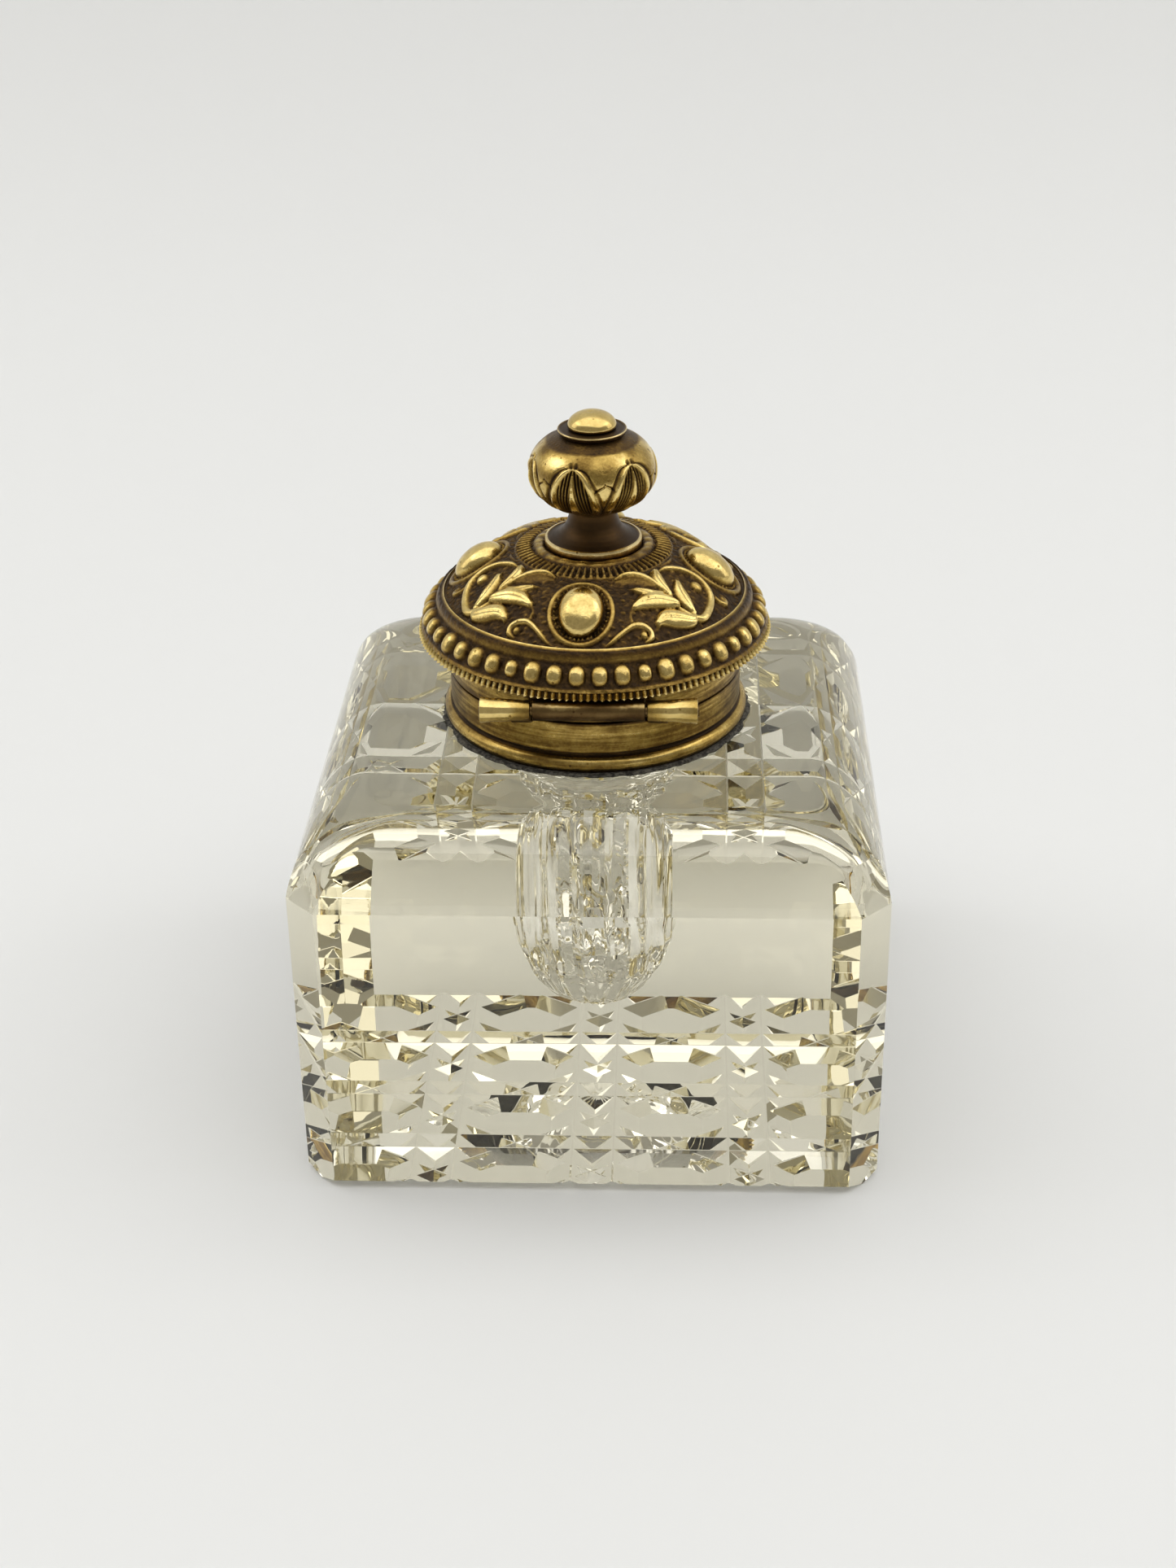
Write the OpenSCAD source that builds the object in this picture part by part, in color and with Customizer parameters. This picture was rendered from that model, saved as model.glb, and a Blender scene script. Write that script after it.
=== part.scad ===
// Square cut-glass inkwell with a cemented brass collar and a hinged brass lid.
// Millimetres. +Z is up, the hinge is on the -Y side, the block stands on z = 0.

/* [Glass block] */
// Width and depth of the block
block_w = 75; // [64:1:90]
// Height of the block's top, where the collar stands
block_h = 52; // [46:1:64]
// Width of the flat ground on each upright corner
corner_cut = 3.9; // [2:0.1:6]
// Radius of the rounded shoulders
shoulder_r = 12; // [7:0.5:14]
// How far the ground sides cut into the rounded shoulders
shoulder_cut = 0.2; // [0.1:0.1:1.5]
// Fall of the top from the collar to the shoulders
top_fall = 0.3; // [0:0.1:1.5]

/* [Cut base] */
// Distance from one pair of grooves to the next
cut_pitch = 20.7; // [18:0.1:24]
// Half the distance between the two grooves of a pair
pair_half = 2.9; // [2:0.1:4]
// Half width of a groove at the base
groove_half = 3.7; // [3.2:0.1:4.5]
// Depth of a groove
groove_depth = 1.65; // [1:0.05:2.1]
// Place of the cutting from front to back against the block's middle
cut_shift = -2.2; // [-3:0.1:0]

/* [Well] */
// Radius of the mouth
mouth_r = 15; // [12:0.5:15.5]
// Radius of the ink well below the flare
well_r = 10.8; // [8:0.2:12]
// Height of the lowest point of the well
well_floor = 15; // [10:1:20]
// Outer radius of the glass neck inside the collar
neck_r = 17; // [16.5:0.1:17.2]

/* [Collar] */
// Radius of the plain band
band_r = 19.2; // [18.8:0.1:19.6]
// Height of the band above the block
band_h = 7; // [6:0.5:8]
// Radius of the bead round the foot of the band
bead_r = 20.1; // [19.7:0.1:21]

/* [Hinge] */
// Radius of the barrel
barrel_r = 1.65; // [1.3:0.05:1.7]
// Length of the barrel
barrel_len = 27.1; // [20:0.1:30]
// Length of the middle knuckle
centre_len = 14; // [8:0.1:18]
// Radius of the pin
pin_r = 0.7; // [0.5:0.05:0.9]
// Gap between one knuckle and the next
knuckle_gap = 0.3; // [0.2:0.05:0.5]

/* [Lid] */
// Radius of the milled edge
rim_r = 23.1; // [22.5:0.1:24]
// Number of beads round the lid
bead_count = 48; // [20:1:50]
// Number of raised oval bosses
boss_count = 4; // [2:1:6]
// Number of flutes in the ring round the knob
flute_count = 36; // [0:4:40]

/* [Knob] */
// Greatest radius of the knob
bun_r = 8.5; // [7.8:0.1:8.8]
// Half height of the knob
bun_h = 5.2; // [4:0.1:6]
// Radius of the foot
foot_r = 6.4; // [5:0.1:6.6]

/* [Hidden] */
$fn = 64;

half = block_w / 2;
lug_w = 2.6;
cement_h = 0.35;
foot_z = block_h + cement_h;            // underside of the collar
band_top = block_h + band_h;            // seam between collar and lid
neck_top = band_top - 1;
hinge_y = -21.3;
hinge_z = block_h + 10;
pin_fit = 0.05;                         // radial clearance of the pin in the lid's knuckle
seam = 0.3;                             // gap between collar and lid
flange_z = block_h + 12;                // underside of the lid's flange
flange_t = 1.1;
crown_z = block_h + 23.6;               // flat where the knob stands
bun_z = crown_z + 10.2;                 // middle of the knob
knob_seat = bun_z - 5;                  // where the knob meets its foot
sheet = 1;                              // thickness of the lid's sheet

// Arc of points round [cx, cy] from angle a0 to a1.
function arc(cx, cy, r, a0, a1, n) = [for (i = [0:n]) let (a = a0 + (a1 - a0) * i / n)
    [cx + r * cos(a), cy + r * sin(a)]];

// Upright outline of the block: ground side, rounded shoulder, gently falling top.
shoulder_a = acos((shoulder_r - shoulder_cut) / shoulder_r);
shoulder_x = half + shoulder_cut - shoulder_r;
shoulder_z = block_h - top_fall - shoulder_r;
block_half = concat([[0, 0], [half, 0]],
    arc(shoulder_x, shoulder_z, shoulder_r, shoulder_a, 90, 10),
    [[bead_r, block_h], [0, block_h]]);

module upright_outline() {
    polygon(block_half);
    mirror([1, 0]) polygon(block_half);
}

// Plan of the block: a square with its corners ground off.
module plan_outline() {
    s = half - corner_cut;
    polygon([[half, -s], [half, s], [s, half], [-s, half],
             [-half, s], [-half, -s], [-s, -half], [s, -half]]);
}

// One V groove of endless length along Y, its edge pointing up, cut less deep by shallow.
module groove(offset_x, shallow = 0) {
    wide = 1.5;
    deep = groove_depth - shallow;
    translate([offset_x, 60, 0]) rotate([90, 0, 0]) linear_extrude(120)
        polygon([[-groove_half * wide, deep * (1 - wide)],
                 [groove_half * wide, deep * (1 - wide)],
                 [0, deep]]);
}

// Cane pattern: pairs of grooves both ways, single grooves on both diagonals, and one groove
// just outside each edge that takes the edge off.
module cane_cuts() {
    for (k = [-1:1], s = [-1, 1]) {
        groove(k * cut_pitch + s * pair_half);
        translate([0, cut_shift, 0]) rotate([0, 0, 90]) groove(k * cut_pitch + s * pair_half);
    }
    for (turn = [0, 90], s = [-1, 1]) rotate([0, 0, turn]) groove(s * (half + 1));
    translate([0, cut_shift, 0]) for (k = [-3:2]) {
        rotate([0, 0, 45]) groove((k + 0.5) * cut_pitch / sqrt(2), 0.1);
        rotate([0, 0, -45]) groove((k + 0.5) * cut_pitch / sqrt(2), 0.17);
    }
}

// Inside of the well, from the rounded floor up through the neck.
module well_space() {
    rotate_extrude() polygon(concat(
        [[0, well_floor], [1.2, well_floor]],
        arc(0, well_floor + well_r, well_r, -80, 0, 8),
        [[well_r, well_floor + 18], [well_r + 0.6, well_floor + 20.4], [well_r + 1.8, well_floor + 22.5],
         [mouth_r - 1, well_floor + 24.6], [mouth_r - 0.2, well_floor + 26.4],
         [mouth_r, well_floor + 28.5], [mouth_r, neck_top + 1], [0, neck_top + 1]]));
}

module glass_block() {
    color([0.84, 0.83, 0.72, 0.45]) difference() {
        union() {
            intersection() {
                translate([0, half + 1, 0]) rotate([90, 0, 0])
                    linear_extrude(block_w + 2) upright_outline();
                rotate([0, 0, 90]) translate([0, half + 1, 0]) rotate([90, 0, 0])
                    linear_extrude(block_w + 2) upright_outline();
                linear_extrude(block_h + 1) plan_outline();
            }
            translate([0, 0, block_h - 1]) cylinder(r = neck_r, h = neck_top - block_h + 1);
        }
        cane_cuts();
        well_space();
    }
}

// Plaster squeezed out between the collar and the glass.
module cement_ring() {
    color([0.36, 0.35, 0.31]) rotate_extrude() polygon([
        [neck_r, block_h], [bead_r + 0.5, block_h], [bead_r + 0.3, foot_z],
        [band_r - 1.2, foot_z], [band_r - 1.2, neck_top - 0.4], [neck_r, neck_top - 0.4]]);
}

// Half-round bead with a fillet groove above it.
module collar_base_ring() {
    bead_h = 1;
    color([0.55, 0.44, 0.20]) rotate_extrude() polygon(concat(
        [[band_r, foot_z]],
        arc(bead_r - bead_h, foot_z + bead_h, bead_h, -60, 75, 8),
        [[band_r, foot_z + 2 * bead_h]]));
}

// Plain band with a narrow lip turned in over the neck.
module collar_band() {
    color([0.62, 0.50, 0.25]) rotate_extrude() polygon([
        [band_r - 1.2, foot_z], [band_r, foot_z], [band_r, band_top - 0.2],
        [band_r - 0.2, band_top], [mouth_r + 0.4, band_top], [mouth_r + 0.4, neck_top],
        [band_r - 1.2, neck_top]]);
}

// Straight barrel piece between two places on the hinge line.
module barrel(x0, x1, r) {
    translate([x0, hinge_y, hinge_z]) rotate([0, 90, 0]) cylinder(r = r, h = x1 - x0);
}

// Outer knuckle with a thin lug behind it that runs down to the collar band.
module outer_knuckle(x0, x1) {
    difference() {
        union() {
            barrel(x0, x1, barrel_r);
            // the lug stands on the knuckle's inner end, where the band is close
            translate([min(abs(x0), abs(x1)) * sign(x0) - (x0 < 0 ? lug_w : 0), hinge_y + 0.8, band_top - 1])
                cube([lug_w, 4.5, 3]);
        }
        barrel(x0 - 1, x1 + 1, pin_r);
        translate([0, 0, band_top - 5]) cylinder(r = band_r, h = 9);
        translate([x0 - 1, hinge_y + 2.1, band_top]) cube([x1 - x0 + 2, 6, 4]);
    }
}

module hinge_knuckle_left() {
    color([0.72, 0.60, 0.32]) outer_knuckle(-barrel_len / 2, -centre_len / 2 - knuckle_gap);
}

module hinge_knuckle_right() {
    color([0.72, 0.60, 0.32]) outer_knuckle(centre_len / 2 + knuckle_gap, barrel_len / 2);
}

module hinge_pin() {
    color([0.45, 0.36, 0.18]) barrel(-barrel_len / 2 - 0.2, barrel_len / 2 + 0.2, pin_r);
}

// Outside of the lid's sheet, from the rim up to the crown.
dome_out = [[22.5, flange_z + flange_t], [22.1, flange_z + 2.3], [21.3, flange_z + 3.5],
            [20.6, flange_z + 4.4], [20.3, flange_z + 5.3], [20, flange_z + 5.7],
            [19.6, flange_z + 5.3], [18, flange_z + 6.5], [15.6, flange_z + 8.4],
            [13, flange_z + 9.9], [10.3, flange_z + 10.8], [10, flange_z + 11.2],
            [7.3, crown_z - 0.1], [6.6, crown_z]];
dome_in = [[pin_r + 1.35, crown_z - sheet], [7, crown_z - sheet], [10, flange_z + 10],
           [13, flange_z + 8.8], [15.3, flange_z + 7.3], [18, flange_z + 5.1],
           [19.6, flange_z + 3.6], [20.6, flange_z + 2.2], [20.9, flange_z + flange_t]];

module lid_dome() {
    color([0.66, 0.52, 0.24]) difference() {
        union() {
            rotate_extrude() polygon(concat(dome_out, [[pin_r + 1.35, crown_z]], dome_in));
            for (i = [0:bead_count - 1]) rotate([0, 0, 360 * i / bead_count])
                translate([21.3, 0, flange_z + 3.0]) sphere(r = 1, $fn = 24);
            for (i = [0:boss_count - 1]) rotate([0, 0, 360 * i / boss_count - 94])
                translate([15.4, 0, flange_z + 7.1]) sphere(r = 2.9, $fn = 32);
        }
        rotate_extrude() polygon(concat(dome_in,
            [[20.9, flange_z - 2], [pin_r + 1.35, flange_z - 2]]));
        for (i = [0:flute_count - 1]) rotate([0, 0, 360 * i / flute_count])
            translate([7.4, -0.12, crown_z - 0.25]) cube([3.4, 0.24, 1]);
    }
}

// Outside of the skirt and of the hollow curve up to the flange.
under_rim = concat([[band_r, band_top + seam]],
    arc(22.2, band_top + 1.9, 3, 180, 95, 8));

// Flange with a milled edge, hollow-curved under-rim and plain skirt.
module lid_rim_ring() {
    teeth = 72;
    color([0.60, 0.48, 0.22]) difference() {
        rotate_extrude() polygon(concat(
            [[rim_r, flange_z], [rim_r, flange_z + flange_t - 0.2], [rim_r - 0.3, flange_z + flange_t],
             [19.8, flange_z + flange_t], [18.2, flange_z - 1], [18.2, band_top + seam]],
            under_rim));
        for (i = [0:teeth - 1]) rotate([0, 0, 360 * i / teeth])
            translate([rim_r + 0.12, 0, flange_z - 1]) rotate([0, 0, 45])
                translate([-0.3, -0.3, 0]) cube([0.6, 0.6, 3]);
        // room for the outer knuckles and the middle one
        for (side = [-1, 1]) translate([side * (barrel_len + centre_len + 2 * knuckle_gap) / 4, 0, 0])
            translate([-(barrel_len - centre_len) / 4 - 0.35, hinge_y - 6, band_top - 1])
                cube([(barrel_len - centre_len) / 2 + 0.7, 8.4, flange_z - band_top + 1]);
        barrel(-centre_len / 2, centre_len / 2, barrel_r);
    }
}

// Middle knuckle with a leaf that carries the lid.
module hinge_knuckle_centre() {
    color([0.27, 0.20, 0.10]) difference() {
        union() {
            barrel(-centre_len / 2, centre_len / 2, barrel_r);
            translate([-centre_len / 2, hinge_y + 0.4, hinge_z - 1.2])
                cube([centre_len, 4, flange_z - hinge_z + 1.1]);
        }
        barrel(-centre_len / 2 - 1, centre_len / 2 + 1, pin_r + pin_fit);
        rotate_extrude() polygon(concat([[0, band_top + seam]], under_rim,
            [[under_rim[9][0], flange_z + 1], [0, flange_z + 1]]));
    }
}

module knob_foot() {
    color([0.30, 0.23, 0.11]) rotate_extrude() polygon(concat(
        [[pin_r + 1.3, crown_z], [foot_r, crown_z], [foot_r, crown_z + 1.1], [foot_r - 0.7, crown_z + 1.4]],
        arc(foot_r - 0.7, crown_z + 4, 2.5, -95, -175, 8),
        [[3.1, knob_seat], [pin_r + 1.3, knob_seat]]));
}

module knob_bun() {
    color([0.68, 0.55, 0.27]) rotate_extrude() polygon(concat(
        [[pin_r + 1.3, knob_seat], [3.4, knob_seat]],
        [for (i = [0:16]) let (a = -72 + 139 * i / 16)
            [bun_r * pow(cos(a), 0.8), bun_z + bun_h * sin(a)]],
        [[pin_r + 1.3, bun_z + bun_h * sin(67)]]));
}

module knob_disc() {
    z0 = bun_z + bun_h * sin(67);
    color([0.62, 0.50, 0.24]) rotate_extrude() polygon([
        [pin_r + 1.3, z0], [3.9, z0], [4.3, z0 + 0.3], [4.3, z0 + 0.8],
        [4.0, z0 + 1.05], [3.2, z0 + 0.8], [pin_r + 1.3, z0 + 0.8]]);
}

module knob_button() {
    z0 = bun_z + bun_h * sin(67) + 0.8;
    color([0.78, 0.66, 0.36]) rotate_extrude() polygon(concat(
        [[0, z0], [3.0, z0]],
        [for (i = [0:10]) [3.1 * cos(90 * i / 10), z0 + 0.3 + 1.9 * sin(90 * i / 10)]]));
}

// Threaded rod that holds the knob on the lid, shown at its outside diameter.
module knob_stud() {
    color([0.5, 0.4, 0.2]) translate([0, 0, crown_z - 5])
        cylinder(r = pin_r + 1.3, h = bun_z + bun_h * sin(67) + 0.8 - crown_z + 5);
}

module knob_washer() {
    color([0.5, 0.4, 0.2]) translate([0, 0, crown_z - sheet - 0.7]) difference() {
        cylinder(r = 4.2, h = 0.7);
        translate([0, 0, -1]) cylinder(r = pin_r + 1.3, h = 3);
    }
}

module knob_nut() {
    color([0.42, 0.34, 0.17]) translate([0, 0, crown_z - sheet - 3.1]) difference() {
        cylinder(r = 3.6, h = 2.4, $fn = 6);
        translate([0, 0, -1]) cylinder(r = pin_r + 1.3, h = 5);
    }
}

glass_block();
cement_ring();
collar_base_ring();
collar_band();
hinge_knuckle_left();
hinge_knuckle_right();
hinge_pin();
lid_dome();
lid_rim_ring();
hinge_knuckle_centre();
knob_foot();
knob_bun();
knob_disc();
knob_button();
knob_stud();
knob_washer();
knob_nut();
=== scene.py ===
import math

import bmesh
import bpy
import numpy as np
from mathutils import Matrix, Vector


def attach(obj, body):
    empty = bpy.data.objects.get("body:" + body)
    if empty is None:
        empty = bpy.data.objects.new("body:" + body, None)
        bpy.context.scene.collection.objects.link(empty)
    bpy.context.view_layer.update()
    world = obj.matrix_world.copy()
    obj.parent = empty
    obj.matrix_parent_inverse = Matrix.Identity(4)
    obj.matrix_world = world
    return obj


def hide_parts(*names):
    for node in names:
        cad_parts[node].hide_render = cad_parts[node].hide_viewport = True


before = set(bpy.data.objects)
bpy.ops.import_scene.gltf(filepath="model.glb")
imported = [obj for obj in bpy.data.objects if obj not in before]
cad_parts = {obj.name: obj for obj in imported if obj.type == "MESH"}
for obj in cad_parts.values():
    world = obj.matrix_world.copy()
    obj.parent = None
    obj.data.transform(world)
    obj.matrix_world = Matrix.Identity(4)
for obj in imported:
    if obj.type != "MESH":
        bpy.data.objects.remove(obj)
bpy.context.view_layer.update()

MM = 0.001
TURN = 2 * np.pi
rng = np.random.RandomState(7)      # how far each groove strays


# ---------------------------------------------------------------- shapes

def smooth_path(points, n):
    """A Catmull-Rom curve through the given points, n samples at even steps of its parameter.
    Each stretch is the cubic whose end slopes are half the step between its neighbours."""
    p = np.asarray(points, float)
    p = np.vstack([2 * p[0] - p[1], p, 2 * p[-1] - p[-2]])
    t = np.linspace(0, len(p) - 3, n)
    i = np.minimum(t.astype(int), len(p) - 4)
    f = (t - i)[:, None]
    a, b, c, d = p[i], p[i + 1], p[i + 2], p[i + 3]
    return 0.5 * (2 * b + (c - a) * f + (2 * a - 5 * b + 4 * c - d) * f**2 + (3 * b - a - 3 * c + d) * f**3)


def even_path(points, step):
    """A broken line cut into pieces no longer than step, its corners kept."""
    p = np.asarray(points, float)
    out = [p[:1]]
    for a, b in zip(p[:-1], p[1:]):
        k = max(1, int(np.ceil(np.hypot(*(b - a)[:2]) / step)))
        out.append(a + (b - a) * np.arange(1, k + 1)[:, None] / k)
    return np.vstack(out)


def bow(cx, cy, r, a0, a1, n, wear=0.5):
    """Points of a circular arc from a0 to a1 degrees, each with the same wear."""
    a = np.radians(np.linspace(a0, a1, n))
    return [(cx + r * math.cos(t), cy + r * math.sin(t), wear) for t in a]


def grid_faces(rows, cols, wrap_rows=False):
    """Quads of a grid whose columns close round; wrap_rows closes the rows too."""
    i = np.arange(rows if wrap_rows else rows - 1)[:, None]
    j = np.arange(cols)[None, :]
    i2, j2 = (i + 1) % rows, (j + 1) % cols
    return np.stack([i * cols + j, i * cols + j2, i2 * cols + j2, i2 * cols + j], -1).reshape(-1, 4)


def ripple(x, y, z, size, seed=0):
    """Soft irregular waves in space, about -1 to 1: a sum of sine waves of nearby lengths
    in directions that come from the seed."""
    r = np.random.RandomState(seed)
    out = np.zeros(np.broadcast(x, y, z).shape)
    for _ in range(7):
        k = r.normal(size=3)
        k *= TURN / (size * r.uniform(0.7, 1.6)) / np.linalg.norm(k)
        out += np.sin(k[0] * x + k[1] * y + k[2] * z + r.uniform(0, TURN))
    return out / 3.5


def piece(name, points, faces, body, material, stands_for=(), wear=None, sharp=38):
    """One finished piece: points in millimetres and faces put in as whole arrays, smooth shaded
    with edges sharper than the given angle kept crisp, and its wear stored on its points."""
    ob = loose(name, points, faces)
    return finished(ob, body, material, stands_for, wear, sharp)


def loose(name, points, faces):
    """A bare mesh object from points in millimetres and a list or an array of faces."""
    me = bpy.data.meshes.new(name)
    me.from_pydata(np.asarray(points, float) * MM, [], [list(map(int, face)) for face in faces])
    me.update()
    ob = bpy.data.objects.new(name, me)
    bpy.context.scene.collection.objects.link(ob)
    return ob


def finished(ob, body, material, stands_for=(), wear=None, sharp=38):
    """Gives a piece its wear, shading and material, and its body in place of the CAD nodes."""
    me = ob.data
    if wear is not None:
        store = me.attributes.new("wear", "FLOAT", "POINT")
        store.data.foreach_set("value", np.asarray(wear, np.float32).ravel())
    me.polygons.foreach_set("use_smooth", np.ones(len(me.polygons), bool))
    me.set_sharp_from_angle(angle=math.radians(sharp))
    me.materials.clear()
    me.materials.append(material)
    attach(ob, body)
    if stands_for:
        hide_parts(*stands_for)
    return ob


def turned(name, profile, cols, body, material, stands_for=(), step=0.35, shape=None, closed=True):
    """A turned piece: a profile of (radius, height, wear) carried round the upright axis, rows up
    the outside. shape(angle, radius, height, wear) may push the points about. A profile that
    isn't closed starts and ends close to the axis, where a small disc shuts it."""
    p = even_path(profile, step)
    r, z, w = (np.repeat(p[:, k : k + 1], cols, 1) for k in range(3))
    a = np.repeat((np.arange(cols) * TURN / cols)[None, :], len(p), 0)
    if shape:
        r, z, w = shape(a, r, z, w)
    pts = np.stack([r * np.cos(a), r * np.sin(a), z], -1).reshape(-1, 3)
    faces = grid_faces(len(p), cols, closed)
    if not closed:
        faces = faces.tolist() + [list(range(cols - 1, -1, -1)), list(range(len(pts) - cols, len(pts)))]
    return piece(name, pts, faces, body, material, stands_for, w)


# ---------------------------------------------------------------- finishes

class Value:
    """A number that varies over a surface: a socket whose sums and products add Math nodes."""

    def __init__(self, tree, socket):
        self.tree, self.socket = tree, socket

    def _op(self, kind, a, b, clamp=False):
        """One maths node of the given kind, fed by a and b, kept from 0 to 1 if clamp is set."""
        node = self.tree.nodes.new("ShaderNodeMath")
        node.operation, node.use_clamp = kind, clamp
        for k, v in enumerate((a, b)):
            if isinstance(v, Value):
                self.tree.links.new(v.socket, node.inputs[k])
            else:
                node.inputs[k].default_value = v
        return Value(self.tree, node.outputs[0])

    def __add__(self, o): return self._op("ADD", self, o)
    def __sub__(self, o): return self._op("SUBTRACT", self, o)
    def __rsub__(self, o): return self._op("SUBTRACT", o, self)
    def __mul__(self, o): return self._op("MULTIPLY", self, o)
    __radd__, __rmul__ = __add__, __mul__

    def clamp(self):
        """Kept from 0 to 1."""
        return self._op("ADD", self, 0.0, clamp=True)

    def between(self, lo, hi):
        """0 below lo, 1 above hi, straight between."""
        return self._op("MULTIPLY", self - lo, 1.0 / (hi - lo), clamp=True)


class Finish:
    """One material and its nodes, round the shader that it starts with."""

    def __init__(self, name):
        self.material = bpy.data.materials.new(name)
        self.material.use_nodes = True
        self.tree = self.material.node_tree
        self.shader = self.tree.nodes["Principled BSDF"]
        self.place = self.add("ShaderNodeTexCoord", out="Object")

    def add(self, kind, out=0, settings=None, ramp=None, **sockets):
        """Makes a node from its type, its settings, a ramp's stops and its sockets, which are
        called by name, or by number after an underscore. Returns one of its outputs."""
        node = self.tree.nodes.new(kind)
        for k, v in (settings or {}).items():
            setattr(node, k, v)
        if ramp:
            stops = node.color_ramp.elements
            while len(stops) < len(ramp):
                stops.new(0.5)
            for stop, (at, colour) in zip(stops, ramp):
                stop.position, stop.color = at, (*colour, 1)
        for k, v in sockets.items():
            self.feed(node.inputs[int(k[1:]) if k[0] == "_" else k.replace("_", " ")], v)
        return Value(self.tree, node.outputs[out])

    def feed(self, socket, v):
        """Links a Value to a socket, or sets the socket to a plain number or colour."""
        if isinstance(v, Value):
            self.tree.links.new(v.socket, socket)
        else:
            socket.default_value = v

    def set(self, **sockets):
        """Feeds the shader's own sockets."""
        for k, v in sockets.items():
            self.feed(self.shader.inputs[k.replace("_", " ")], v)
        return self

    def noise(self, size, detail=3.0, rough=0.55, stretch=(1, 1, 1)):
        """Cloudy noise whose blotches are about size millimetres across, 0 to 1."""
        at = self.add("ShaderNodeMapping", Vector=self.place, Scale=stretch)
        return self.add("ShaderNodeTexNoise", Vector=at, Scale=1 / (size * MM), Detail=detail,
                        Roughness=rough)

    def mix(self, mask, a, b):
        """Colour a where the mask is 0, colour b where it is 1."""
        return self.add("ShaderNodeMix", out=2, settings={"data_type": "RGBA"}, _0=mask, _6=a, _7=b)

    def bump(self, height, depth, strength=1.0):
        """Tilts the surface by a height from 0 to 1 that stands for depth millimetres."""
        self.set(Normal=self.add("ShaderNodeBump", Height=height, Distance=depth * MM, Strength=strength))


def brass(name, stops, rough, grime, grain, brushed=None, wear=None):
    """Old brass. Wear from 0, deep in the ground, to 1, on the rubbed tops, is broken up by
    blotches, then picks the colour along the stops from brown patina to rubbed metal, and the
    roughness from rough[0] to rough[1]. brushed is the width and the stretch of brush lines;
    wear, if given, is the same all over, or else it is the piece's own."""
    f = Finish(name)
    if wear is None:
        wear = f.add("ShaderNodeAttribute", out="Fac", settings={"attribute_name": "wear"})
    blotch = f.noise(2.2, 4.0, 0.6)
    fine = f.noise(0.35, 3.0, 0.6)
    pits = f.add("ShaderNodeTexVoronoi", out="Distance", Vector=f.place, Scale=1 / (1.5 * MM))
    level = (blotch - 0.5) * grime + (fine - 0.5) * (grime * 0.6) + wear
    level = level * (pits.between(0.09, 0.14) * 0.35 + 0.65)
    if brushed:
        lines = f.noise(brushed[0], 2.0, 0.5, brushed[1])
        level = level + (lines - 0.5) * 0.9
    level = level.clamp()
    f.set(Base_Color=f.add("ShaderNodeValToRGB", ramp=stops, Fac=level),
          Metallic=level.between(0.0, 0.35) * 0.2 + 0.8,
          Roughness=level * (rough[1] - rough[0]) + rough[0] + (fine - 0.5) * 0.12)
    height = fine * (1 - level * 0.8) * grain + blotch * 0.02
    if brushed:
        height = height + lines * 0.03
    f.bump(height, 1.0, 0.6)
    return f.material


def near_black_plaster():
    """Plaster, near black, with paler specks where the noise runs high."""
    f = Finish("plaster, near black")
    spots = f.noise(0.5, 4.0, 0.7)
    f.set(Base_Color=f.mix(spots.between(0.42, 0.62), (0.018, 0.016, 0.013, 1), (0.15, 0.14, 0.115, 1)),
          Roughness=0.9)
    f.bump(spots, 0.2, 0.8)
    return f.material


def olive_glass():
    """Polished glass: a slow swirl bends its face, and its depth takes on a faint olive tint."""
    f = Finish("glass, polished with a faint olive tint")
    f.set(Transmission_Weight=1.0, Roughness=0.0, IOR=1.52, Base_Color=(1, 1, 1, 1))
    f.bump(f.noise(9.0, 1.5, 0.4), 0.05, 0.5)
    tint = f.tree.nodes.new("ShaderNodeVolumeAbsorption")
    tint.inputs["Color"].default_value = (0.84, 0.79, 0.57, 1)
    tint.inputs["Density"].default_value = 11.5
    f.tree.links.new(tint.outputs[0], f.tree.nodes["Material Output"].inputs["Volume"])
    return f.material


PATINA = [(0.0, (0.034, 0.018, 0.006)), (0.22, (0.095, 0.052, 0.014)), (0.45, (0.225, 0.138, 0.034)),
          (0.70, (0.47, 0.320, 0.088)), (1.0, (0.86, 0.66, 0.26))]
DARKER = [(0.0, (0.030, 0.016, 0.007)), (0.4, (0.080, 0.044, 0.016)), (0.7, (0.19, 0.12, 0.045)),
          (0.86, (0.55, 0.40, 0.16)), (1.0, (0.84, 0.67, 0.34))]
chased = brass("brass chased and patinated", PATINA, (0.50, 0.15), 0.60, 0.26)
plain = brass("brass plain and rubbed", PATINA, (0.46, 0.2), 0.62, 0.03, (0.6, (0.08, 0.08, 1.4)))
bright = brass("brass rubbed bright", PATINA, (0.5, 0.16), 0.35, 0.02)
dark = brass("brass dark with patina", DARKER, (0.5, 0.24), 0.3, 0.03)
plaster = near_black_plaster()
glass = olive_glass()

# ---------------------------------------------------------------- glass block

HALF, CORNER = 37.5, 3.9                     # half width, and what the corner cuts take off it
TOP, EDGE = 52.0, 41.9                       # the level top, and where the upright sides end
SH_UP, SH_IN = 12.9, 10.3                    # half axes of the shoulder's oval, up and inwards
SH_FROM = math.asin(1 - (TOP - EDGE) / SH_UP)
LEVEL = HALF - SH_IN * math.cos(SH_FROM)     # half width of the level top
CORNER_BOW = 3.2                             # how much rounder the corners are up there
NECK_R, MOUTH_R, NECK_TOP = 17.0, 15.0, 58.0
CUP_R, CUP_RIM, CUP_DEEP = 10.8, 29.8, 14.8  # the well's cup: radius, height of its rim, depth
PITCH, PAIR, SHIFT = 20.7, 2.6, -2.2         # cane cutting: spacing, half gap in a pair, shift in Y
G_HALF, G_DEEP = 3.3, 1.5                    # straight grooves: half width and depth
D_HALF, D_DEEP = 2.4, 1.25                   # diagonal grooves
SLAB = 4.0                                   # the height up to which the block is cut


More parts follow.
